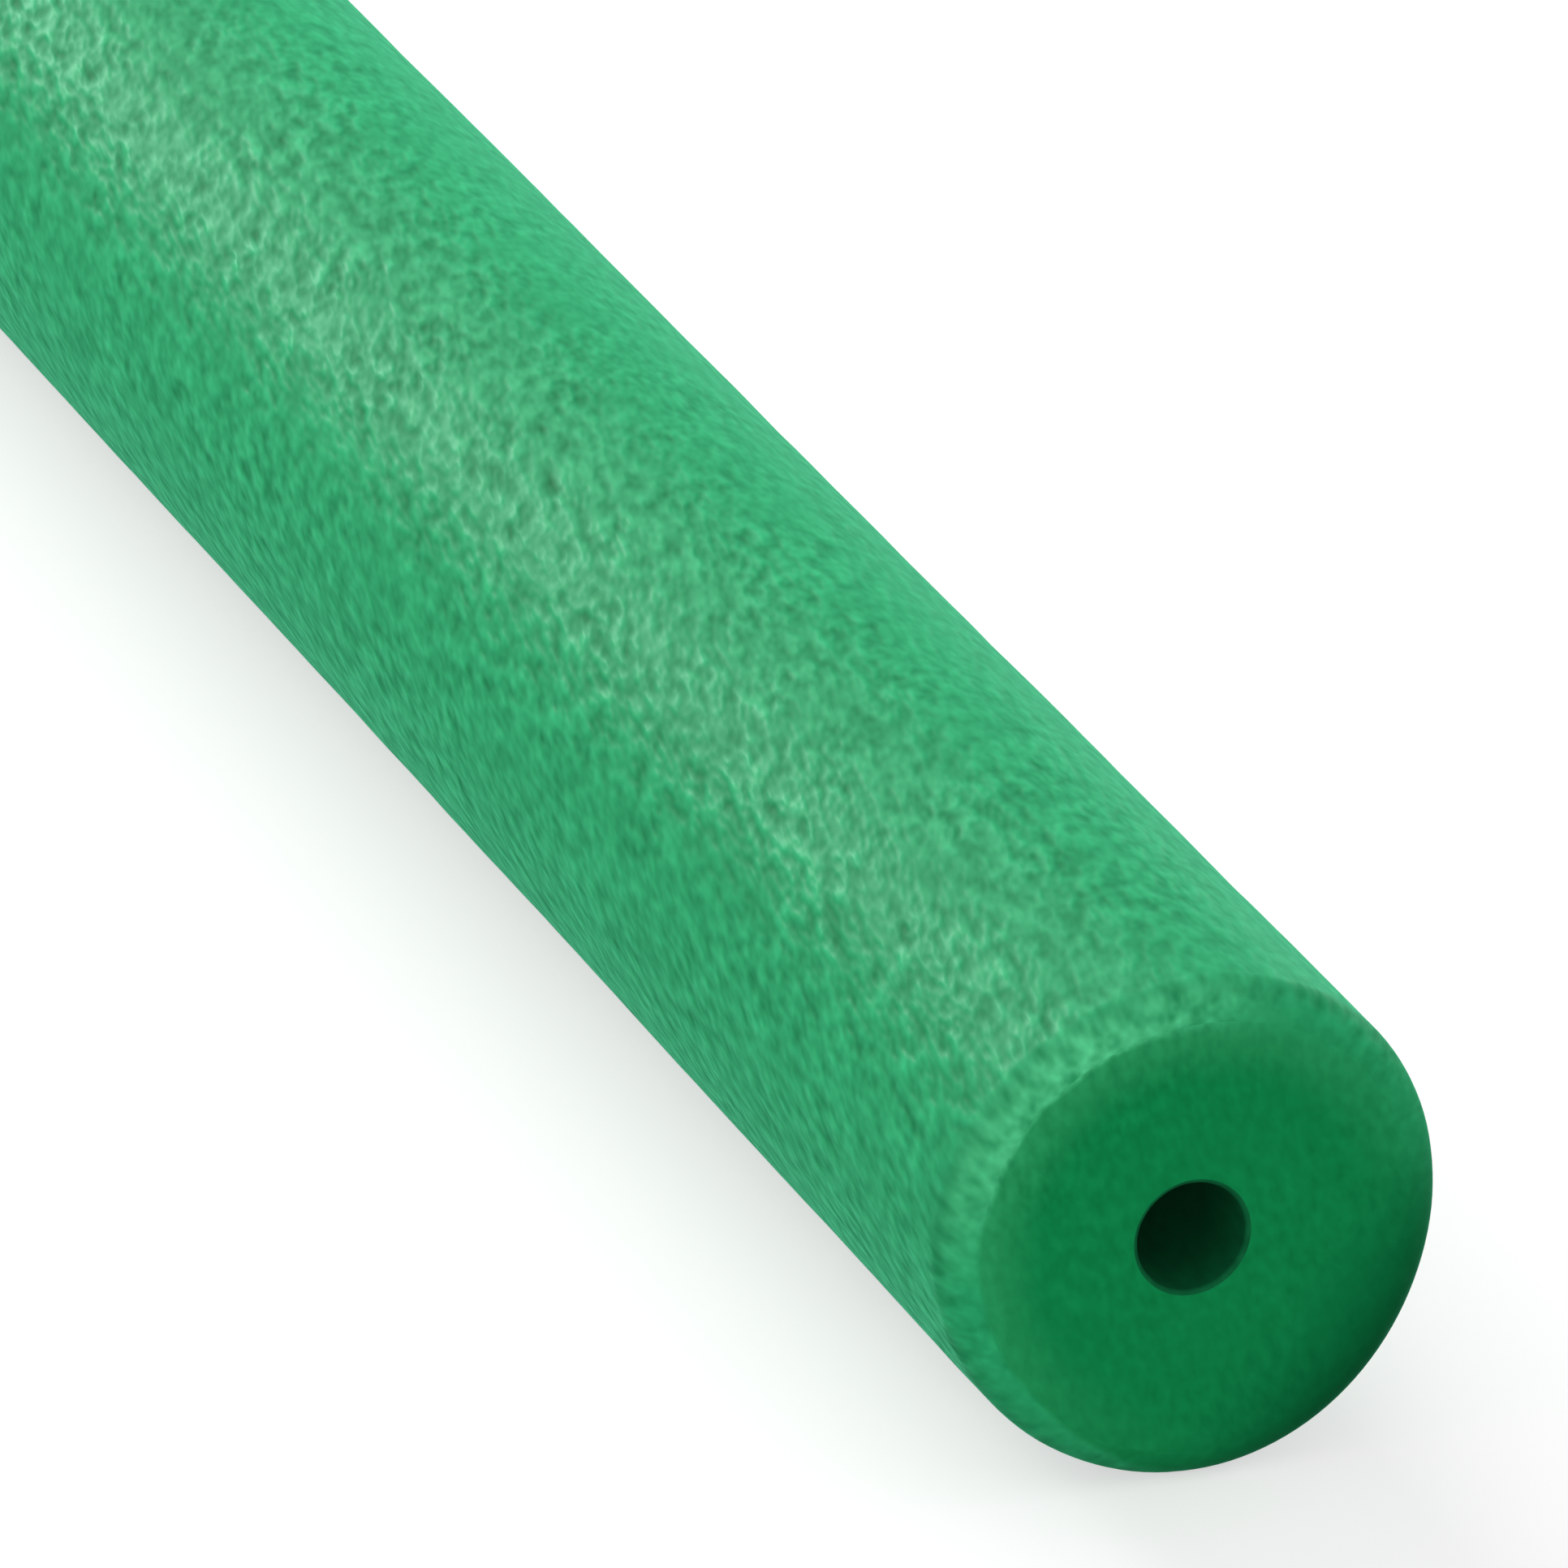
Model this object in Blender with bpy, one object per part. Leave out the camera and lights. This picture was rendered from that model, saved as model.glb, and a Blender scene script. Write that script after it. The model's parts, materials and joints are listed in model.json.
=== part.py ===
"""Pool noodle: one tube of closed-cell polyethylene foam, extruded with a bore and cut square.

The tube lies along X on the floor plane, with +Z up and the origin under its middle.
Sizes are in metres. Run with: blender --background --python part.py
"""

from math import cos, hypot, pi, radians, sin, tau

import bmesh
import bpy
from mathutils import Matrix, Vector

# The extrusion
TUBE_LENGTH = 1.5
TUBE_DIAMETER = 0.065
BORE_DIAMETER = 0.014

# How far the extruder left the bore off the tube's axis, towards -Y
BORE_OFFSET = 0.0013

# Edges at the two cut ends, which foam keeps soft
RIM_RADIUS = 0.005
BORE_LIP_RADIUS = 0.0006

# Strip underneath that the tube's weight presses flat
REST_FLAT_DEPTH = 0.0004
CUT_OVERRUN = 0.002

# Facets
ROUND_SIDES = 72
RIM_STEPS = 5
BORE_LIP_STEPS = 2
SHARP_ANGLE = radians(35)

# Foam as it looks in even light
FOAM_COLOUR = (0.025, 0.430, 0.155, 1)
FOAM_ROUGHNESS = 0.75


def clear_scene():
    for obj in list(bpy.data.objects):
        bpy.data.objects.remove(obj, do_unlink=True)


def corner_arc(centre, radius, start_angle, end_angle, steps):
    """Points of a rounded corner in the (along, out) plane, ends included."""
    points = []
    for step in range(steps + 1):
        angle = start_angle + (end_angle - start_angle) * step / steps
        points.append(centre + radius * Vector((cos(angle), sin(angle))))
    return points


def edge_radii():
    """The rim's and the bore lip's radii, both limited by the wall that carries them."""
    wall = (TUBE_DIAMETER - BORE_DIAMETER) / 2
    return min(RIM_RADIUS, wall / 2), min(BORE_LIP_RADIUS, wall / 4)


def wall_profile():
    """The wall cut lengthwise, as a closed loop of (along the axis, out from the axis) points.

    It runs up the near face, over the outer skin to the far end, down that face and back
    through the bore.
    """
    outer = TUBE_DIAMETER / 2
    inner = BORE_DIAMETER / 2
    half_length = TUBE_LENGTH / 2
    rim, lip = edge_radii()

    near_rim = corner_arc(Vector((half_length - rim, outer - rim)), rim, 0, pi / 2, RIM_STEPS)
    far_rim = corner_arc(Vector((rim - half_length, outer - rim)), rim, pi / 2, pi, RIM_STEPS)
    far_lip = corner_arc(Vector((lip - half_length, inner + lip)), lip, pi, 3 * pi / 2, BORE_LIP_STEPS)
    near_lip = corner_arc(Vector((half_length - lip, inner + lip)), lip, 3 * pi / 2, tau, BORE_LIP_STEPS)
    return near_rim + far_rim + far_lip + near_lip


def spun_mesh(name, profile, sides):
    """A closed profile spun once round the X axis."""
    shape = bmesh.new()
    verts = [shape.verts.new((along, 0, out)) for along, out in profile]
    edges = [shape.edges.new((verts[i - 1], verts[i])) for i in range(len(verts))]
    bmesh.ops.spin(
        shape,
        geom=verts + edges,
        cent=(0, 0, 0),
        axis=(1, 0, 0),
        angle=tau,
        steps=sides,
        use_merge=True,
    )
    bmesh.ops.recalc_face_normals(shape, faces=shape.faces)
    mesh = bpy.data.meshes.new(name)
    shape.to_mesh(mesh)
    shape.free()
    return mesh


def shift_bore(mesh):
    """Moves the bore and its lips off centre. The flat cut faces take up the difference."""
    rim, lip = edge_radii()
    face_inner = BORE_DIAMETER / 2 + lip
    face_outer = TUBE_DIAMETER / 2 - rim
    shift = min(BORE_OFFSET, (face_outer - face_inner) / 2)
    for vert in mesh.vertices:
        if hypot(vert.co.y, vert.co.z) < (face_inner + face_outer) / 2:
            vert.co.y -= shift


def placed(name, mesh, location):
    obj = bpy.data.objects.new(name, mesh)
    obj.location = location
    bpy.context.scene.collection.objects.link(obj)
    return obj


def foam_material():
    material = bpy.data.materials.new("foam")
    material.use_nodes = True
    shader = material.node_tree.nodes["Principled BSDF"]
    shader.inputs["Base Color"].default_value = FOAM_COLOUR
    shader.inputs["Roughness"].default_value = FOAM_ROUGHNESS
    shader.inputs["Metallic"].default_value = 0
    material.diffuse_color = FOAM_COLOUR
    return material


def rest_cutter():
    """A block under the floor plane that trims the tube's lowest strip flat."""
    depth = REST_FLAT_DEPTH + CUT_OVERRUN
    block = bmesh.new()
    size = Matrix.Diagonal((TUBE_LENGTH + 2 * CUT_OVERRUN, TUBE_DIAMETER, depth, 1))
    bmesh.ops.create_cube(block, size=1, matrix=size)
    mesh = bpy.data.meshes.new("rest_cutter")
    block.to_mesh(mesh)
    block.free()
    cutter = placed("rest_cutter", mesh, (0, 0, -depth / 2))
    cutter.hide_render = True
    cutter.display_type = "WIRE"
    return cutter


def foam_tube():
    """The whole noodle. Its axis runs at the height that leaves the flat strip on the floor."""
    axis_height = TUBE_DIAMETER / 2 - REST_FLAT_DEPTH
    mesh = spun_mesh("foam_tube", wall_profile(), ROUND_SIDES)
    shift_bore(mesh)
    mesh.materials.append(foam_material())
    tube = placed("foam_tube", mesh, (0, 0, axis_height))
    trim = tube.modifiers.new("rest flat", "BOOLEAN")
    trim.operation = "DIFFERENCE"
    trim.solver = "EXACT"
    trim.object = rest_cutter()
    mesh.shade_smooth()
    mesh.set_sharp_from_angle(angle=SHARP_ANGLE)
    return tube


clear_scene()
foam_tube()
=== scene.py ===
"""The looks of a pool noodle: a green closed-cell foam tube on a pale floor, in soft studio light."""

import json
from math import cos, pi, radians, sin, tau

import bpy
import numpy as np
from mathutils import Matrix, Vector

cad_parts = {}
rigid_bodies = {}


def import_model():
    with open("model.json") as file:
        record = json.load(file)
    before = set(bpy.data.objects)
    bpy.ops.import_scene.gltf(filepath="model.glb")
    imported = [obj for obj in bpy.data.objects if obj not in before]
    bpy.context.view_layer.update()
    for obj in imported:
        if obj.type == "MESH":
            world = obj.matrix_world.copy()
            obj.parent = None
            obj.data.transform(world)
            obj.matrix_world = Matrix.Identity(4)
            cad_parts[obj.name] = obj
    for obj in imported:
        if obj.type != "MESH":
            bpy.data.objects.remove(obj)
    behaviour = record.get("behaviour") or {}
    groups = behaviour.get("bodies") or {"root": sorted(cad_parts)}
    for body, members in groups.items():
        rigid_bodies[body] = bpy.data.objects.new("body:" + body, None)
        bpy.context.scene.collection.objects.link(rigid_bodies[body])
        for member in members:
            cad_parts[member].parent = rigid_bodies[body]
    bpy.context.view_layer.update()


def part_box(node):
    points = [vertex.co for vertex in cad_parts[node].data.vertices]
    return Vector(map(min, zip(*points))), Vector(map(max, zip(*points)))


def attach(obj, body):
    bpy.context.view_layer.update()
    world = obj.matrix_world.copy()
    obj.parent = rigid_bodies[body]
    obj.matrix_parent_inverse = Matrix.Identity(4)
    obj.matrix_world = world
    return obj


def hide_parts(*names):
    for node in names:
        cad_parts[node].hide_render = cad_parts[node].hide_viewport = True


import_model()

# The tube's sizes as the frame has them, in metres
TUBE_LOW, TUBE_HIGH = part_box("foam_tube")
HALF_LENGTH = (TUBE_HIGH.x - TUBE_LOW.x) / 2
OUTER_RADIUS = (TUBE_HIGH.y - TUBE_LOW.y) / 2
AXIS_HEIGHT = TUBE_HIGH.z - OUTER_RADIUS

# The bore and the rounded edges, the same as the solid's
BORE_RADIUS = 0.007
BORE_OFFSET = 0.0013
RIM_RADIUS = 0.005
BORE_LIP_RADIUS = 0.0006

# The tube's mesh, and its material slots
SIDES = 128
SKIN_RINGS = 612
BORE_RINGS = 50
FACE_RINGS = 14
RIM_RINGS = 12
LIP_RINGS = 4
SKIN_SLOT, CUT_SLOT, BORE_SLOT = range(3)

# The skin's swells
SWELL_SEED = 5
SWELL_SPACINGS = (0.09, 0.035, 0.014)
SWELL_HEIGHTS = (0.00004, 0.00002, 0.00001)
SWELL_SPREAD = (0.7, 1.4)
SWELLS_EACH = 24

# How the saw left each end: crowned, and warped so that its two sides fall back
CROWN_HEIGHT = 0.0008
CROWN_POWER = 3
CUT_WARP = 0.00128

# The colour map that an export bakes: metres of surface on a square of this side
MAP_SIDE = 0.632
MAP_GAP = 0.005
SKIN_STRIPS = 3
BORE_STRIP_SCALE = 0.4

# The foam's colours, linear
SKIN_DEEP = (0.001, 0.170, 0.045, 1)
SKIN_PALE = (0.050, 0.670, 0.270, 1)
CUT_DEEP = (0.001, 0.145, 0.034, 1)
CUT_PALE = (0.010, 0.410, 0.124, 1)
# The bore's colours are darkened, mostly as painted shade of the deep bore
BORE_DEEP_WITH_SHADE = (0.002, 0.095, 0.031, 1)
BORE_PALE_WITH_SHADE = (0.003, 0.165, 0.054, 1)

# The colours of the painted highlight on a rim, and of the painted shade on one
RIM_HIGHLIGHT_DEEP = (0.028, 0.385, 0.145, 1)
RIM_HIGHLIGHT_PALE = (0.150, 0.880, 0.400, 1)
RIM_SHADE = (0.001, 0.088, 0.024, 1)

# The foam's faint gloss, and how rough its deep and its pale cells are
GLOSS = 0.024
GLOSS_TINT = (0.50, 1.0, 0.85, 1)
SKIN_ROUGHNESS = (0.54, 0.38)
CUT_ROUGHER_BY = 0.2
BORE_GLOSS = 0.1
BORE_ROUGHNESS = (0.9, 0.75)

# The grain's paleness from which the foam is rough as its deep cells, and as its pale ones
DEEP_TO_PALE = (0.2, 0.8)

# The pale bloom of foam skin seen at a low angle
SHEEN_WEIGHT = 0.4
SHEEN_ROUGHNESS = 0.35
SHEEN_TINT = (0.15, 1.0, 0.55, 1)

# Foam cells, drawn out along the extrusion on the skin and twisted a little about it
CELL_WIDTH = 0.0018
SKIN_DRAW_SHARE = 0.40
SKIN_TWIST = -5.5

# How strongly the cells show, and the patches in which they show least and most
CELL_CONTRAST = 1.25
RIM_CONTRAST = 1.2
PATCH_SIZE = 0.016
PATCH_CONTRAST = 0.07
PATCH_NOISE = (0.35, 0.65)
PATCH_STRENGTHS = (0.75, 1.1)

# The cells' relief
BUMP_DEPTH = 0.00075
SKIN_BUMP = 0.7
CUT_BUMP_SHARE = 0.5
BORE_BUMP = 0.15

# Direction of the saw's strokes over the cut faces, and how much finer their grain is
STROKE = Vector((0, 0.315, -0.949))
STROKE_DRAW_SHARE = 0.65
CUT_FINENESS = 1.25

# Below, a pair named PLACE is metres from the tube's axis towards a side, and one named REACH
# is metres past the skin's edge, from where a smooth step starts to where it ends.

# How far round the rim the skin reaches, measured from the cut face
SKIN_EDGE_TURN = radians(6)

# The sides of the rims that get the palest painted highlight, and the darkest painted shade
HIGHLIGHT_SIDE = Vector((0, -0.60, 0.80))
SHADE_SIDE = Vector((0, 0.75, -0.66))

# How far the skin's edge wanders, and how far it is trimmed back away from the pale side
EDGE_WANDER = 0.002
EDGE_WANDER_SIZE = 0.009
EDGE_TRIM = 0.0045
TRIM_PLACE = (-0.028, -0.004)

# How far the saw smeared the skin either side of its edge, from where it came in to where it left
SMEARS = (0.0006, 0.0042)
SMEAR_PLACE = (-0.012, 0.014)

# The painted highlight on a rim: how pale it is, how far towards its side it lies, and where it comes in
RIM_HIGHLIGHT_STRENGTH = 0.92
RIM_HIGHLIGHT_PLACE = (0.012, 0.033)
RIM_HIGHLIGHT_REACH = (-0.0085, -0.0035)

# The broken pale line just short of the edge, a painted highlight
LINE_HIGHLIGHT_STRENGTH = 0.30
LINE_SETBACK = 0.0009
LINE_HALF_WIDTH = (0.0002, 0.0016)
LINE_BREAK_SIZE = 0.012
LINE_BREAKS = (0.40, 0.62)

# The faint pale border on the cut foam, a painted light strongest on the highlight side
BORDER_HIGHLIGHT_STRENGTH = 0.24
BORDER_REACH = (0.0, 0.0085)
BORDER_PLACE = (-0.022, 0.022)
BORDER_LEAST = 0.2

# How much of the painted highlight the far end has, and where along the tube it changes
FAR_END_SHARE = 0.2
FAR_TO_NEAR = (-0.5, 0.5)

# The painted shade on a rim: how far towards its side it lies, and how far it goes onto cut and skin
DARK_PLACE = (0.0115, 0.035)
DARK_CUT_REACH = (0.026, 0.002)
DARK_SKIN_REACH = (-0.006, -0.001)

# How calm the grain grows on the rims, on the +Y side and on the cut faces
RIM_CALM = 0.60
RIM_CALM_REACH = (-0.008, -0.001)
SIDE_CALM = 0.40
SIDE_CALM_PLACE = (-0.006, 0.022)
CUT_CALM = 0.45

# The share of painted highlight from which a rim isn't calmed
HIGHLIGHT_LIVELY = 0.8

# How bright the studio is all round
STUDIO_STRENGTH = 0.43

# Each lamp's place and target, its length and height in metres, and its watts
LAMPS = {
    "low_back": ((-0.6, 1.75, 0.35), (-0.6, 0, 0), 2.6, 0.6, 13.0),
    "far_low": ((-4.9, -1.5, 1.8), (0.5, 0, 0), 1.6, 1.6, 212),
    "far_top": ((-3.34, 0.16, 2.56), (0.5, 0, 0), 1.9, 1.6, 68),
    "near_front": ((3.4, -0.15, 0.35), (0.7, 0, 0), 0.8, 0.5, 23.5),
}

# The floor as the camera sees it, and how far from the tube's middle it turns white
FLOOR_GREY = (0.64, 0.64, 0.64, 1)
FLOOR_LIFT = 0.58
FLOOR_WHITENS = (0.4, 1.3)
FLOOR_LENGTHWISE_SHARE = 0.6
FLOOR_HALF = 40
FLOOR_DROP = 0.0003

# The floor as the noodle sees it, from its -Y side to the other, which has a painted shadow
FLOOR_BOUNCE_PALE = (0.74, 0.74, 0.74, 1)
FLOOR_PAINTED_SHADOW = (0.10, 0.10, 0.10, 1)
FLOOR_SHADOW_TURN = (-0.12, 0.06)

# The photograph's frame, in its own pixels, and the camera that fits it
PHOTO_SIDE = 1932
NEAR_END_PIXEL = (1481.6, 1522.8)
FOCAL_PIXELS = 26709
NEAR_END_DEPTH = 2.6195
CAMERA_AZIMUTH = radians(69.55)
CAMERA_ELEVATION = radians(22.83)
SENSOR_WIDTH = 36.0
SIGHT_LIMIT = 100


def skin_swell(x, phi):
    """How far the skin stands off the true cylinder at x along the tube and phi round it.

    It is a sum of waves height * cos(k x + m phi + shift) that run in random directions. The
    number m is whole, so that each wave closes round the tube, and (k, m / radius) has the
    length tau / spacing, times a random share from SWELL_SPREAD. The waves of one spacing are
    scaled so that the root mean square of their sum is that spacing's height.
    """
    total = np.zeros(np.broadcast(x, phi).shape)
    rng = np.random.default_rng(SWELL_SEED)
    for spacing, height in zip(SWELL_SPACINGS, SWELL_HEIGHTS):
        lengths = tau / spacing * rng.uniform(*SWELL_SPREAD, SWELLS_EACH)
        turns = rng.uniform(0, tau, SWELLS_EACH)
        shifts = rng.uniform(0, tau, SWELLS_EACH)
        along, around = lengths * np.cos(turns), lengths * np.sin(turns) * OUTER_RADIUS
        for k, m, shift in zip(along, around, shifts):
            total += height * np.sqrt(2 / SWELLS_EACH) * np.cos(k * x + np.round(m) * phi + shift)
    return total


def arc(centre, radius, start, end, rings):
    """A rounded corner of the wall's profile, as (x, r) points without its last one.

    Each is the centre plus the radius times (cos, sin) of an angle from start to end.
    """
    angles = np.linspace(start, end, rings + 1)[:-1]
    return np.stack([centre[0] + radius * np.cos(angles), centre[1] + radius * np.sin(angles)], -1)


def straight(start, end, rings):
    """A straight stretch of the profile, as even (x, r) points without its last one."""
    shares = np.linspace(0, 1, rings + 1)[:-1, None]
    return (1 - shares) * np.array(start) + shares * np.array(end)


def wall_profile():
    """The wall's closed profile as (x, r) points, and for each point the name of its stretch.

    It runs from the near cut face round its rim, over the skin to the far end, down that face
    and back through the bore. Its corners are quarter circles.
    """
    rim_x = HALF_LENGTH - RIM_RADIUS
    rim_r = OUTER_RADIUS - RIM_RADIUS
    lip_x = HALF_LENGTH - BORE_LIP_RADIUS
    lip_r = BORE_RADIUS + BORE_LIP_RADIUS
    stretches = {
        "near_rim": arc((rim_x, rim_r), RIM_RADIUS, 0, pi / 2, RIM_RINGS),
        "skin": straight((rim_x, OUTER_RADIUS), (-rim_x, OUTER_RADIUS), SKIN_RINGS),
        "far_rim": arc((-rim_x, rim_r), RIM_RADIUS, pi / 2, pi, RIM_RINGS),
        "far_cut": straight((-HALF_LENGTH, rim_r), (-HALF_LENGTH, lip_r), FACE_RINGS),
        "far_lip": arc((-lip_x, lip_r), BORE_LIP_RADIUS, pi, 3 * pi / 2, LIP_RINGS),
        "bore": straight((-lip_x, BORE_RADIUS), (lip_x, BORE_RADIUS), BORE_RINGS),
        "near_lip": arc((lip_x, lip_r), BORE_LIP_RADIUS, 3 * pi / 2, tau, LIP_RINGS),
        "near_cut": straight((HALF_LENGTH, lip_r), (HALF_LENGTH, rim_r), FACE_RINGS),
    }
    names = np.repeat(list(stretches), [len(points) for points in stretches.values()])
    return np.concatenate(list(stretches.values())), names


def way_along(profile):
    """The way along the closed profile to each of its points, and back to the first."""
    steps = np.linalg.norm(np.roll(profile, -1, axis=0) - profile, axis=1)
    return np.concatenate([[0], np.cumsum(steps)])


def past_skin_edge(along):
    """How far along the profile a point lies past the nearer edge of the skin, negative on it.

    The skin runs from its first edge on the near rim to its last one on the far rim. The way
    is the shorter way round the wall from the skin's middle, less half the skin's length.
    """
    first = RIM_RADIUS * SKIN_EDGE_TURN
    last = 2 * (HALF_LENGTH - RIM_RADIUS) + RIM_RADIUS * (pi - SKIN_EDGE_TURN)
    from_middle = np.abs(along - (first + last) / 2)
    round_the_wall = np.minimum(from_middle, along[-1] - from_middle)
    return round_the_wall - (last - first) / 2


def wall_surface(x, r, phi):
    """The foam's surface: the profile point (x, r) turned to phi from +Y, then made uneven.

    The skin's swells fade towards the bore as r to the fourth power. The bore lies BORE_OFFSET
    off centre towards -Y, which fades across the wall. Each cut is crowned: it stands out at
    the bore and falls by CROWN_HEIGHT * s ** CROWN_POWER, where s goes from 0 there to 1 at the
    skin. It is warped by CUT_WARP * s ** 2 * cos(2 phi), so that its sides fall back. All this
    fades to nothing a diameter from the end, as the square of the way left. What would reach
    under the floor is pressed flat on it.
    """
    wall_share = np.clip((r - BORE_RADIUS) / (OUTER_RADIUS - BORE_RADIUS), 0, 1)
    r = r + skin_swell(x, phi) * (r / OUTER_RADIUS) ** 4
    y = r * np.cos(phi) - BORE_OFFSET * (1 - wall_share)
    z = r * np.sin(phi)
    near_end = np.clip(1 - (HALF_LENGTH - np.abs(x)) / (2 * OUTER_RADIUS), 0, 1) ** 2
    crown = CROWN_HEIGHT * wall_share**CROWN_POWER
    warp = CUT_WARP * wall_share**2 * np.cos(2 * phi)
    x = x - (crown + warp) * near_end * np.sign(x)
    return np.stack([x, y, np.maximum(AXIS_HEIGHT + z, 0)], -1)


def grid_faces(rings, sides):
    """Four corners (ring, side) for each face of a grid that closes both ways."""
    ring, side = np.meshgrid(np.arange(rings), np.arange(sides), indexing="ij")
    ring, side = ring.ravel(), side.ravel()
    corner_rings = np.stack([ring, ring, ring + 1, ring + 1], -1)
    corner_sides = np.stack([side, side + 1, side + 1, side], -1)
    return corner_rings, corner_sides


def map_places(names, along, ring, side):
    """Where each corner of each face lies on the baked colour map.

    The skin lies in strips, one above another, as long as their share of the tube and as high
    as the tube is round. Each end with its rim is a disc whose radius is the way along the
    profile from the bore's axis. The bore is one narrow upright strip at a smaller scale.
    """
    starts = {name: int(np.argmax(names == name)) for name in np.unique(names)}
    skin_start, bore_start = along[starts["skin"]], along[starts["bore"]]
    near_lip_start = along[starts["near_lip"]]
    way = along[ring]
    turn = side / SIDES * tau

    girth = tau * OUTER_RADIUS
    strip_length = 2 * (HALF_LENGTH - RIM_RADIUS) / SKIN_STRIPS
    strip = (ring[:, :1] - starts["skin"]) // (SKIN_RINGS // SKIN_STRIPS)
    skin_u = MAP_GAP + way - skin_start - strip * strip_length
    skin_v = MAP_GAP + strip * (girth + MAP_GAP) + side / SIDES * girth

    from_near_bore = np.where(way < near_lip_start, way + along[-1], way) - near_lip_start
    near_radius = BORE_RADIUS + from_near_bore
    far_radius = BORE_RADIUS + bore_start - way
    disc = BORE_RADIUS + bore_start - along[starts["far_rim"]]
    disc_u = 2 * MAP_GAP + strip_length + disc
    near_v, far_v = MAP_GAP + disc, 2 * MAP_GAP + 3 * disc

    bore_girth = tau * BORE_RADIUS * BORE_STRIP_SCALE
    bore_u = 3 * MAP_GAP + strip_length + 2 * disc + side / SIDES * bore_girth
    bore_v = MAP_GAP + (way - bore_start) * BORE_STRIP_SCALE

    name = names[ring[:, 0]][:, None]
    on_skin = name == "skin"
    on_bore = name == "bore"
    on_far = np.isin(name, ("far_rim", "far_cut", "far_lip"))
    radius = np.where(on_far, far_radius, near_radius)
    centre_v = np.where(on_far, far_v, near_v)
    u = np.select([on_skin, on_bore], [skin_u, bore_u], disc_u + radius * np.cos(turn))
    v = np.select([on_skin, on_bore], [skin_v, bore_v], centre_v + radius * np.sin(turn))
    return np.stack([u, v], -1) / MAP_SIDE


def build_tube():
    """The noodle's one mesh: the wall's surface on a grid of profile points by angles phi.

    It carries the way past the skin's edge, the layout of the baked map and the slots. A face
    in the bore or on its lips has the bore's slot, and one past the skin's edge has the cut's.
    """
    profile, names = wall_profile()
    along = way_along(profile)
    rings = len(profile)
    phi = -pi / 2 + tau * np.arange(SIDES) / SIDES
    points = wall_surface(profile[:, :1], profile[:, 1:], phi[None, :]).reshape(-1, 3)
    ring, side = grid_faces(rings, SIDES)
    corners = (ring % rings) * SIDES + side % SIDES

    mesh = bpy.data.meshes.new("noodle")
    mesh.from_pydata(points, [], corners)
    mesh.update()
    mesh.shade_smooth()

    edge = past_skin_edge(along)
    attribute = mesh.attributes.new("past_skin_edge", "FLOAT", "POINT")
    attribute.data.foreach_set("value", np.repeat(edge[:-1], SIDES).astype(np.float32))
    layout = mesh.uv_layers.new(name="OFBake")
    layout.data.foreach_set("uv", map_places(names, along, ring, side).astype(np.float32).ravel())

    middle = (edge[ring[:, 0]] + edge[ring[:, 2]]) / 2
    in_bore = np.isin(names[ring[:, 0]], ("far_lip", "bore", "near_lip"))
    slots = np.select([in_bore, middle > 0], [BORE_SLOT, CUT_SLOT], SKIN_SLOT)
    mesh.polygons.foreach_set("material_index", slots.astype(np.int32))
    noodle = bpy.data.objects.new("noodle", mesh)
    bpy.context.scene.collection.objects.link(noodle)
    return noodle


class Nodes:
    """A node tree with short ways to add to it."""

    def __init__(self, tree):
        self.tree = tree

    def add(self, kind, inputs=None, **settings):
        """A new node with its settings, and its inputs set to values or linked from sockets."""
        node = self.tree.nodes.new(kind)
        for name, value in settings.items():
            setattr(node, name, value)
        for name, value in (inputs or {}).items():
            self.feed(node.inputs[name], value)
        return node

    def feed(self, socket, value):
        """Links the socket from another one, or sets it to the value."""
        if isinstance(value, bpy.types.NodeSocket):
            self.tree.links.new(value, socket)
        else:
            socket.default_value = value

    def math(self, operation, a, b=0.0):
        """The operation on two values, or on the first alone."""
        return self.add("ShaderNodeMath", {0: a, 1: b}, operation=operation).outputs[0]

    def total(self, first, *others):
        """All the values added."""
        for other in others:
            first = self.math("ADD", first, other)
        return first

    def product(self, first, *others):
        """All the values multiplied."""
        for other in others:
            first = self.math("MULTIPLY", first, other)
        return first

    def vector(self, operation, a, b):
        """The operation on two vectors, which gives a vector."""
        return self.add("ShaderNodeVectorMath", {0: a, 1: b}, operation=operation).outputs[0]

    def dot(self, a, b):
        """The dot product, which is how far a lies along b."""
        node = self.add("ShaderNodeVectorMath", {0: a, 1: b}, operation="DOT_PRODUCT")
        return node.outputs["Value"]

    def part(self, vector, axis):
        """The vector's part along X, Y or Z."""
        return self.add("ShaderNodeSeparateXYZ", {"Vector": vector}).outputs[axis]

    def noise(self, vector, size):
        """Soft noise about 0.5, in lumps as wide as the size in metres and in finer ones."""
        inputs = {"Vector": vector, "Scale": 1 / size, "Detail": 1.0, "Roughness": 0.5}
        return self.add("ShaderNodeTexNoise", inputs).outputs["Fac"]

    def remap(self, value, low, high, to_low=0.0, to_high=1.0):
        """A smooth step from to_low where the value is low to to_high where it is high."""
        inputs = {"Value": value, "From Min": low, "From Max": high, "To Min": to_low, "To Max": to_high}
        return self.add("ShaderNodeMapRange", inputs, interpolation_type="SMOOTHSTEP").outputs["Result"]

    def blend(self, factor, a, b):
        """Colour a where the factor is 0, b where it is 1."""
        mix = self.add("ShaderNodeMix", data_type="RGBA")
        colours = [socket for socket in mix.inputs if socket.type == "RGBA"]
        self.feed(mix.inputs[0], factor)
        self.feed(colours[0], a)
        self.feed(colours[1], b)
        return next(socket for socket in mix.outputs if socket.type == "RGBA")

    def bump(self, height, strength):
        """The normal of a surface whose relief is BUMP_DEPTH times the height, at that strength."""
        inputs = {"Height": height, "Strength": strength, "Distance": BUMP_DEPTH}
        return self.add("ShaderNodeBump", inputs).outputs["Normal"]


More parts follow.
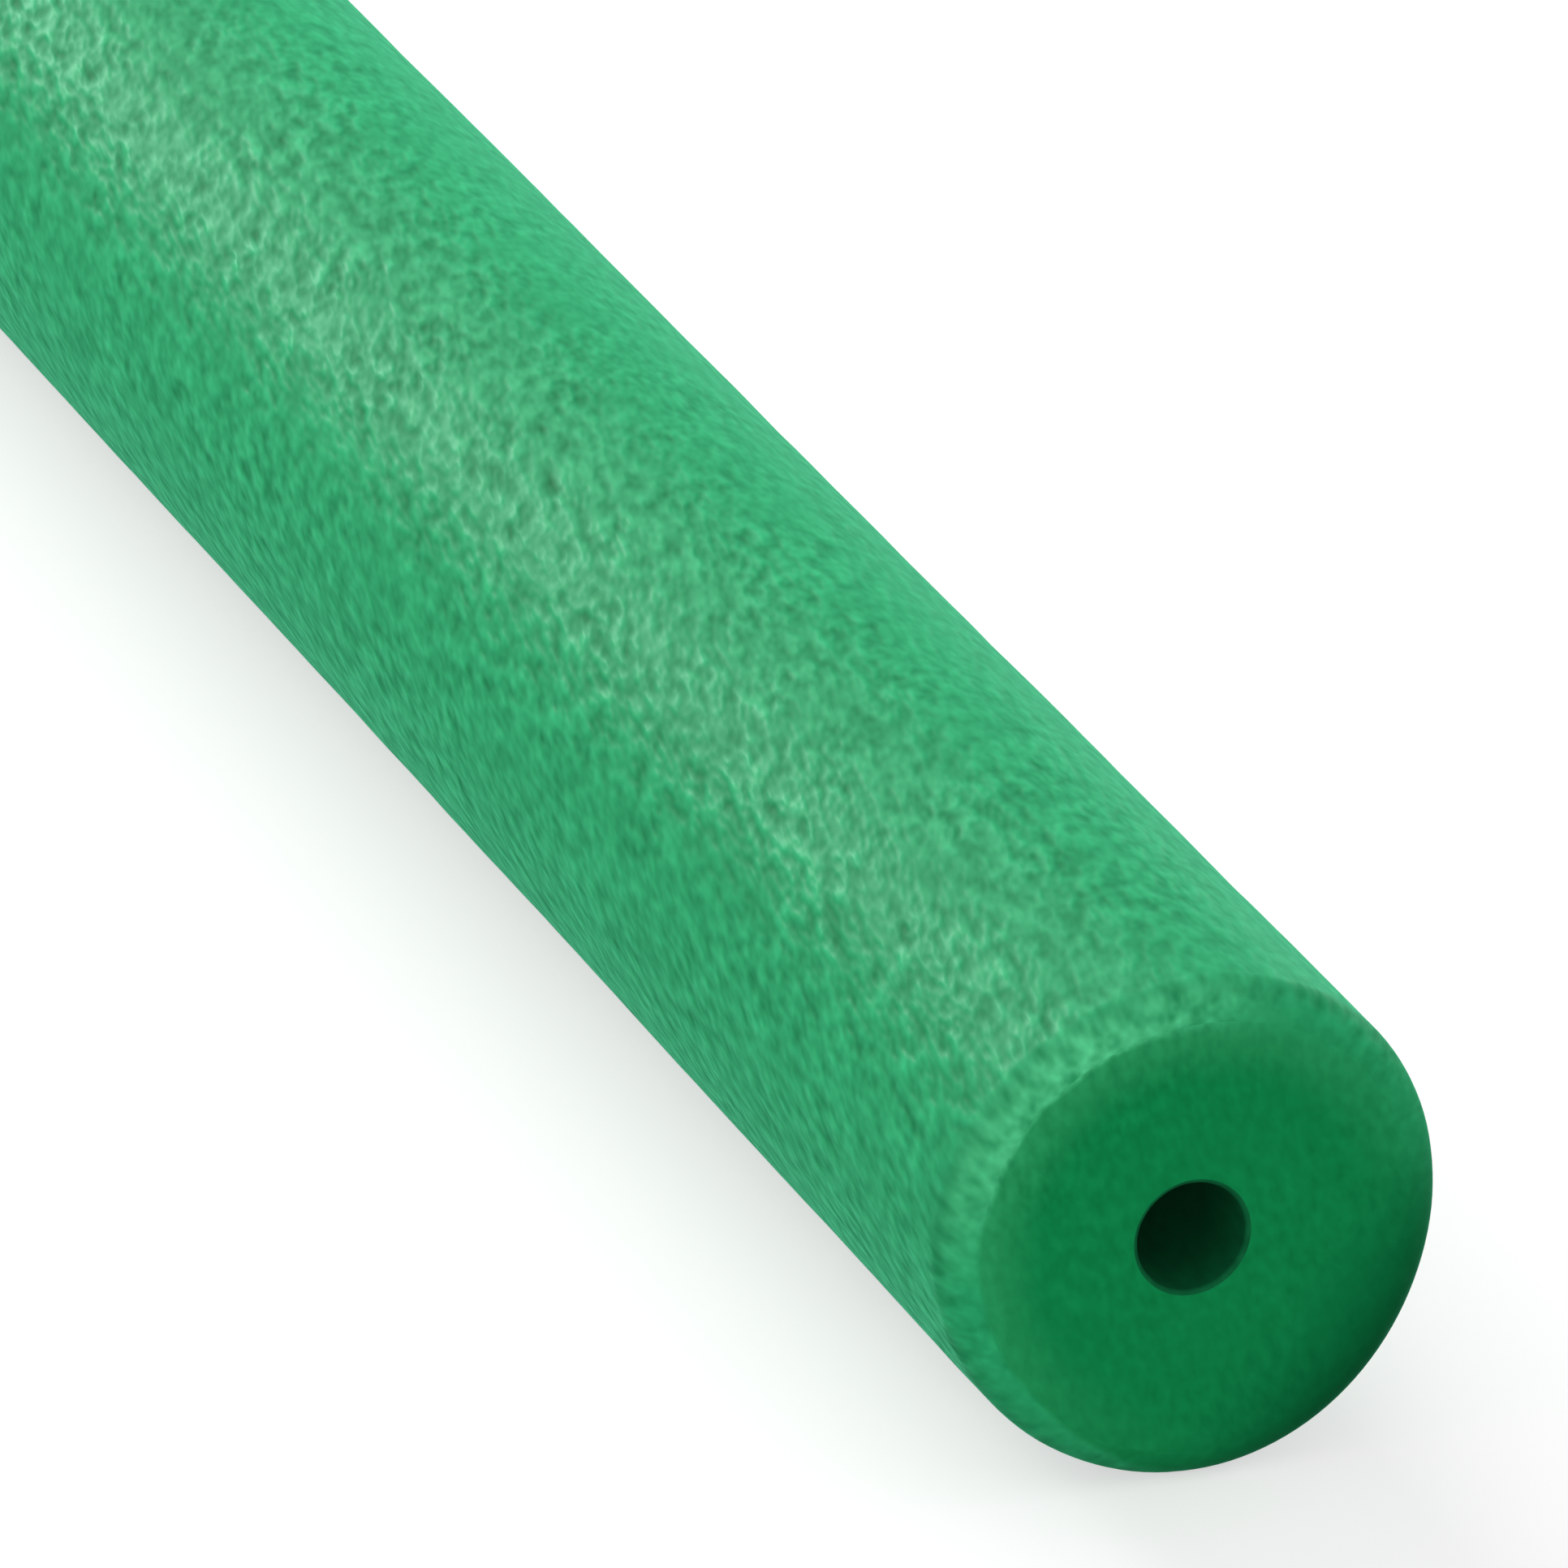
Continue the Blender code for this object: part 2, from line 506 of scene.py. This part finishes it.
def group(name, inputs, outputs):
    """A new node group: its nodes, the sockets that it is given and those that it puts out.

    Inputs and outputs are (name, kind) pairs.
    """
    tree = bpy.data.node_groups.new(name, "ShaderNodeTree")
    for label, kind in inputs:
        tree.interface.new_socket(label, in_out="INPUT", socket_type=kind)
    for label, kind in outputs:
        tree.interface.new_socket(label, in_out="OUTPUT", socket_type=kind)
    nodes = Nodes(tree)
    return nodes, nodes.add("NodeGroupInput").outputs, nodes.add("NodeGroupOutput").inputs


def foam_grain_group():
    """Dimples and lumps of the foam, drawn out along the vector's X: their height and paleness.

    Draw is their width over their length. Height is noise of that shape about 0, stronger in
    some patches than in others. Pale is 0.5 and a share of the height and of the patches.
    """
    nodes, given, out = group(
        "foam grain",
        [("Vector", "NodeSocketVector"), ("Draw", "NodeSocketFloat")],
        [("Height", "NodeSocketFloat"), ("Pale", "NodeSocketFloat")],
    )
    drawn = nodes.add("ShaderNodeCombineXYZ", {"X": given["Draw"], "Y": 1.0, "Z": 1.0}).outputs[0]
    place = nodes.vector("MULTIPLY", given["Vector"], drawn)
    cells = nodes.noise(place, CELL_WIDTH)
    patches = nodes.noise(given["Vector"], PATCH_SIZE)
    strength = nodes.remap(patches, *PATCH_NOISE, *PATCH_STRENGTHS)
    grain = nodes.product(nodes.math("SUBTRACT", cells, 0.5), strength)
    nodes.feed(out["Height"], grain)
    patch_shade = nodes.product(patches, PATCH_CONTRAST)
    middle = 0.5 - PATCH_CONTRAST / 2
    nodes.feed(out["Pale"], nodes.total(nodes.product(grain, CELL_CONTRAST), patch_shade, middle))
    return nodes.tree


def painted_highlight(nodes, place, toward_highlight, past, out_cut):
    """How far a place faces the highlight side, and the painted highlight there.

    The first value grows with the way towards HIGHLIGHT_SIDE and is less at the far end. The second
    is a sum of three painted highlights: on the rim of the skin, which ends where the cut foam comes
    in, a broken line just short of the edge, and a border on the cut foam that fades away from the edge.
    The first value scales the rim and the line. The border is strongest on the highlight side.
    """
    end_share = nodes.remap(nodes.part(place, "X"), *FAR_TO_NEAR, FAR_END_SHARE, 1.0)
    facing = nodes.product(nodes.remap(toward_highlight, *RIM_HIGHLIGHT_PLACE), end_share)
    on_rim = nodes.remap(past, *RIM_HIGHLIGHT_REACH)
    on_skin = nodes.math("SUBTRACT", 1.0, out_cut)
    # Painted highlight on the skin's rim, strongest towards the lamps' side
    rim_highlight = nodes.product(on_skin, on_rim, facing, RIM_HIGHLIGHT_STRENGTH)

    # Painted highlight: a broken pale line just short of the edge
    from_line = nodes.math("ABSOLUTE", nodes.total(past, LINE_SETBACK))
    line = nodes.remap(from_line, *LINE_HALF_WIDTH, LINE_HIGHLIGHT_STRENGTH, 0.0)
    broken = nodes.remap(nodes.noise(place, LINE_BREAK_SIZE), *LINE_BREAKS)
    lined = nodes.product(line, broken, facing)

    # Painted light: a pale border on the cut foam, strongest towards the lamps' side
    border = nodes.remap(past, *BORDER_REACH, BORDER_HIGHLIGHT_STRENGTH, 0.0)
    border_side = nodes.remap(toward_highlight, *BORDER_PLACE, BORDER_LEAST, 1.0)
    on_cut = nodes.product(out_cut, border, border_side)
    return facing, nodes.total(rim_highlight, lined, on_cut)


def calm_share(nodes, across, facing, past, out_cut):
    """How calm the grain is: the greatest of the rim's, the +Y side's and the cut foam's calm.

    The rim's is less where it has the painted highlight.
    """
    away_from_highlight = nodes.remap(facing, 0.0, HIGHLIGHT_LIVELY, RIM_CALM, 0.0)
    round_rim = nodes.product(nodes.remap(past, *RIM_CALM_REACH), away_from_highlight)
    plain_side = nodes.remap(across, *SIDE_CALM_PLACE, 0.0, SIDE_CALM)
    on_skin = nodes.math("MAXIMUM", round_rim, plain_side)
    return nodes.math("MAXIMUM", on_skin, nodes.product(out_cut, CUT_CALM))


def skin_edge_group():
    """Where the skin gives way to cut foam over the rim, its painted light and shade, and calm.

    Past is the way past the skin's edge in metres. The edge wanders by noise, and away from
    HIGHLIGHT_SIDE it is trimmed back. Cut is a smooth step of Past, as wide as the smear: the saw
    leaves the edge crisp on the -Y side, where it comes in, and smeared on the +Y side.
    PaintedHighlight is the painted highlight on the rim and its edge. PaintedShade is a painted
    shade on the rim: how far it lies towards SHADE_SIDE, ending some way onto the cut and the skin.
    """
    nodes, given, out = group(
        "skin edge",
        [("Vector", "NodeSocketVector"), ("Past", "NodeSocketFloat")],
        [(label, "NodeSocketFloat") for label in ("Cut", "PaintedHighlight", "PaintedShade", "Calm")],
    )
    place = given["Vector"]
    across = nodes.part(place, "Y")
    toward_highlight = nodes.dot(place, HIGHLIGHT_SIDE)
    uneven = nodes.math("SUBTRACT", nodes.noise(place, EDGE_WANDER_SIZE), 0.5)
    trimmed = nodes.remap(toward_highlight, *TRIM_PLACE, EDGE_TRIM, 0.0)
    past = nodes.total(given["Past"], trimmed, nodes.product(uneven, EDGE_WANDER))
    smear = nodes.remap(across, *SMEAR_PLACE, *SMEARS)
    out_cut = nodes.remap(nodes.math("DIVIDE", past, smear), -1.0, 1.0)
    facing, with_highlight = painted_highlight(nodes, place, toward_highlight, past, out_cut)

    # Painted shade on the rim's side turned down towards +Y and the floor
    toward_shade = nodes.remap(nodes.dot(place, SHADE_SIDE), *DARK_PLACE)
    near_cut = nodes.remap(past, *DARK_CUT_REACH)
    near_skin = nodes.remap(past, *DARK_SKIN_REACH)
    nodes.feed(out["Cut"], out_cut)
    nodes.feed(out["PaintedHighlight"], with_highlight)
    nodes.feed(out["PaintedShade"], nodes.product(near_cut, near_skin, toward_shade))
    nodes.feed(out["Calm"], calm_share(nodes, across, facing, past, out_cut))
    return nodes.tree


def new_material(name):
    """A material, its nodes and its Principled shader."""
    material = bpy.data.materials.new(name)
    material.use_nodes = True
    nodes = Nodes(material.node_tree)
    return material, nodes, nodes.tree.nodes["Principled BSDF"]


def foam_material(name, grain, edge, lay_grain, draw):
    """Foam whose grain lies as lay_grain(nodes, centred place) says.

    Its colour goes from deep to pale with the grain, calmed where the edge group says so. Past
    the skin's edge it has the colours of cut foam, and is smoother and duller. The rim's pale
    colours come in as a painted highlight by the highlight share, and RIM_SHADE comes in as a
    painted shade over all by the shade share.
    """
    material, nodes, shader = new_material(name)
    place = nodes.add("ShaderNodeTexCoord").outputs["Object"]
    centred = nodes.vector("SUBTRACT", place, (0, 0, AXIS_HEIGHT))
    laid = {"Vector": lay_grain(nodes, centred), "Draw": draw}
    pattern = nodes.add("ShaderNodeGroup", laid, node_tree=grain)
    past = nodes.add("ShaderNodeAttribute", attribute_name="past_skin_edge").outputs["Fac"]
    border = nodes.add("ShaderNodeGroup", {"Vector": centred, "Past": past}, node_tree=edge)

    is_cut = border.outputs["Cut"]
    liveliness = nodes.math("SUBTRACT", 1.0, border.outputs["Calm"])
    swing = nodes.product(nodes.math("SUBTRACT", pattern.outputs["Pale"], 0.5), liveliness)
    pale = nodes.total(swing, 0.5)
    rim_pale = nodes.total(nodes.product(swing, RIM_CONTRAST), 0.5)
    skin = nodes.blend(pale, SKIN_DEEP, SKIN_PALE)
    cut = nodes.blend(pale, CUT_DEEP, CUT_PALE)
    rim = nodes.blend(rim_pale, RIM_HIGHLIGHT_DEEP, RIM_HIGHLIGHT_PALE)
    # Painted highlight: the rim's pale colours, laid on towards the lamps' side
    with_highlight = nodes.blend(border.outputs["PaintedHighlight"], nodes.blend(is_cut, skin, cut), rim)
    # Painted shade: RIM_SHADE laid over the rim's side turned down towards +Y
    nodes.feed(shader.inputs["Base Color"], nodes.blend(border.outputs["PaintedShade"], with_highlight, RIM_SHADE))

    bump_share = nodes.remap(is_cut, 0, 1, 1.0, CUT_BUMP_SHARE)
    height = nodes.product(pattern.outputs["Height"], liveliness, bump_share)
    nodes.feed(shader.inputs["Normal"], nodes.bump(height, SKIN_BUMP))
    skin_roughness = nodes.remap(pale, *DEEP_TO_PALE, *SKIN_ROUGHNESS)
    roughness = nodes.total(skin_roughness, nodes.product(is_cut, CUT_ROUGHER_BY))
    nodes.feed(shader.inputs["Roughness"], roughness)
    shader.inputs["Specular IOR Level"].default_value = GLOSS
    shader.inputs["Specular Tint"].default_value = GLOSS_TINT
    shader.inputs["Sheen Weight"].default_value = SHEEN_WEIGHT
    shader.inputs["Sheen Roughness"].default_value = SHEEN_ROUGHNESS
    shader.inputs["Sheen Tint"].default_value = SHEEN_TINT
    return material


def bore_material(grain):
    """The die-smoothed foam in the bore, darker than the skin, mostly as painted shade of the bore."""
    material, nodes, shader = new_material("bore")
    place = nodes.add("ShaderNodeTexCoord").outputs["Object"]
    pattern = nodes.add("ShaderNodeGroup", {"Vector": place, "Draw": SKIN_DRAW_SHARE}, node_tree=grain)
    pale = pattern.outputs["Pale"]
    nodes.feed(shader.inputs["Base Color"], nodes.blend(pale, BORE_DEEP_WITH_SHADE, BORE_PALE_WITH_SHADE))
    nodes.feed(shader.inputs["Normal"], nodes.bump(pattern.outputs["Height"], BORE_BUMP))
    roughness = nodes.remap(pale, *DEEP_TO_PALE, *BORE_ROUGHNESS)
    nodes.feed(shader.inputs["Roughness"], roughness)
    shader.inputs["Specular IOR Level"].default_value = BORE_GLOSS
    return material


def along_the_twist(nodes, centred):
    """The skin's grain lies along the tube and turns about it, SKIN_TWIST radians a metre."""
    angle = nodes.product(nodes.part(centred, "X"), SKIN_TWIST)
    inputs = {"Vector": centred, "Angle": angle}
    return nodes.add("ShaderNodeVectorRotate", inputs, rotation_type="X_AXIS").outputs["Vector"]


def along_the_stroke(nodes, centred):
    """A cut face's grain is finer, and smeared the way the saw went.

    Its X lies along the stroke, its Y across it over the face, and its Z along the tube.
    """
    sideways = STROKE.cross(Vector((1, 0, 0)))
    parts = {
        "X": nodes.dot(centred, STROKE),
        "Y": nodes.dot(centred, sideways),
        "Z": nodes.part(centred, "X"),
    }
    laid = nodes.add("ShaderNodeCombineXYZ", parts).outputs[0]
    return nodes.vector("MULTIPLY", laid, (CUT_FINENESS, CUT_FINENESS, CUT_FINENESS))


def paint(noodle):
    """Gives the noodle its three materials, in the order of their slots."""
    grain = foam_grain_group()
    edge = skin_edge_group()
    skin = foam_material("foam skin", grain, edge, along_the_twist, SKIN_DRAW_SHARE)
    cut = foam_material("cut foam", grain, edge, along_the_stroke, STROKE_DRAW_SHARE)
    for material in (skin, cut, bore_material(grain)):
        noodle.data.materials.append(material)


def softbox(name, location, target, length, height, watts):
    """A large soft light at the location that shines at the target, its length level."""
    light = bpy.data.lights.new(name, "AREA")
    light.shape = "RECTANGLE"
    light.size = length
    light.size_y = height
    light.energy = watts
    lamp = bpy.data.objects.new(name, light)
    lamp.visible_camera = False
    lamp.location = location
    lamp.rotation_euler = (Vector(target) - Vector(location)).to_track_quat("-Z", "Y").to_euler()
    bpy.context.scene.collection.objects.link(lamp)


def light_scene():
    """Even light from all round, and softboxes low behind, beyond the far end and before the near.

    The camera sees the studio itself as white.
    """
    for name, values in LAMPS.items():
        softbox(name, *values)

    world = bpy.data.worlds.new("studio")
    bpy.context.scene.world = world
    world.use_nodes = True
    nodes = Nodes(world.node_tree)
    background = nodes.tree.nodes["Background"]
    camera_ray = nodes.add("ShaderNodeLightPath").outputs["Is Camera Ray"]
    background.inputs["Color"].default_value = (1, 1, 1, 1)
    nodes.feed(background.inputs["Strength"], nodes.remap(camera_ray, 0, 1, STUDIO_STRENGTH, 1.0))


def floor_material():
    """A pale floor that keeps the noodle's shadow and turns white away from it.

    Near the noodle it is a diffuse grey lifted by a glow, and with the way from the middle,
    which counts less along the tube, that turns to a plain white glow. Only the camera sees
    it so. On the noodle it throws back light as a floor does that is pale on the -Y side and
    dark on the other, a painted shadow where the noodle's own shade would fall.
    """
    material, nodes, shader = new_material("floor")
    nodes.tree.nodes.remove(shader)
    place = nodes.add("ShaderNodeTexCoord").outputs["Object"]
    # Painted shadow: the light the floor throws back is dark on +Y, where the noodle's shade would fall
    bounce_with_painted_shadow = nodes.blend(nodes.remap(nodes.part(place, "Y"), *FLOOR_SHADOW_TURN), FLOOR_BOUNCE_PALE, FLOOR_PAINTED_SHADOW)
    thrown = nodes.add("ShaderNodeBsdfDiffuse", {"Color": bounce_with_painted_shadow}).outputs[0]

    grey = nodes.add("ShaderNodeBsdfDiffuse", {"Color": FLOOR_GREY}).outputs[0]
    lift = nodes.add("ShaderNodeEmission", {"Strength": FLOOR_LIFT}).outputs[0]
    lifted = nodes.add("ShaderNodeAddShader", {0: grey, 1: lift}).outputs[0]
    white = nodes.add("ShaderNodeEmission", {"Strength": 1.0}).outputs[0]
    oval = nodes.vector("MULTIPLY", place, (FLOOR_LENGTHWISE_SHARE, 1, 1))
    away = nodes.add("ShaderNodeVectorMath", {0: oval}, operation="LENGTH").outputs["Value"]
    whiteness = nodes.remap(away, *FLOOR_WHITENS)
    shown = nodes.add("ShaderNodeMixShader", {0: whiteness, 1: lifted, 2: white}).outputs[0]

    camera_ray = nodes.add("ShaderNodeLightPath").outputs["Is Camera Ray"]
    floor = nodes.add("ShaderNodeMixShader", {0: camera_ray, 1: thrown, 2: shown}).outputs[0]
    nodes.feed(nodes.tree.nodes["Material Output"].inputs["Surface"], floor)
    return material


def lay_floor():
    """A square floor just under the noodle."""
    corners = [(-1, -1, 0), (1, -1, 0), (1, 1, 0), (-1, 1, 0)]
    mesh = bpy.data.meshes.new("floor")
    mesh.from_pydata([FLOOR_HALF * Vector(corner) for corner in corners], [], [(0, 1, 2, 3)])
    mesh.materials.append(floor_material())
    floor = bpy.data.objects.new("floor", mesh)
    floor.location.z = -FLOOR_DROP
    bpy.context.scene.collection.objects.link(floor)


def place_camera():
    """The camera sees the near end's centre at its pixel in the photograph, and isn't rolled.

    It looks along forward, which the azimuth and the elevation give. It stands NEAR_END_DEPTH
    back along forward from the near end's centre, and off to the side and up by the pixel's
    way from the frame's middle, at that depth.
    """
    az, el = CAMERA_AZIMUTH, CAMERA_ELEVATION
    forward = Vector((-sin(az) * cos(el), cos(az) * cos(el), -sin(el)))
    right = Vector((cos(az), sin(az), 0))
    up = right.cross(forward)
    slopes = [(pixel - PHOTO_SIDE / 2) / FOCAL_PIXELS for pixel in NEAR_END_PIXEL]
    across, down = (slope * NEAR_END_DEPTH for slope in slopes)
    near_end = Vector((HALF_LENGTH, 0, AXIS_HEIGHT))
    data = bpy.data.cameras.new("camera")
    data.sensor_width = SENSOR_WIDTH
    data.lens = FOCAL_PIXELS / PHOTO_SIDE * SENSOR_WIDTH
    data.clip_end = SIGHT_LIMIT
    camera = bpy.data.objects.new("camera", data)
    camera.location = near_end - across * right + down * up - NEAR_END_DEPTH * forward
    camera.rotation_euler = Matrix((right, up, -forward)).transposed().to_euler()
    bpy.context.scene.collection.objects.link(camera)
    bpy.context.scene.camera = camera


bpy.context.scene.view_settings.view_transform = "Standard"
for leftover in [o for o in bpy.data.objects if o.type in ("LIGHT", "CAMERA") or o.name == "Cube"]:
    bpy.data.objects.remove(leftover)

noodle = build_tube()
paint(noodle)
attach(noodle, "root")
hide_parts("foam_tube")
lay_floor()
light_scene()
place_camera()
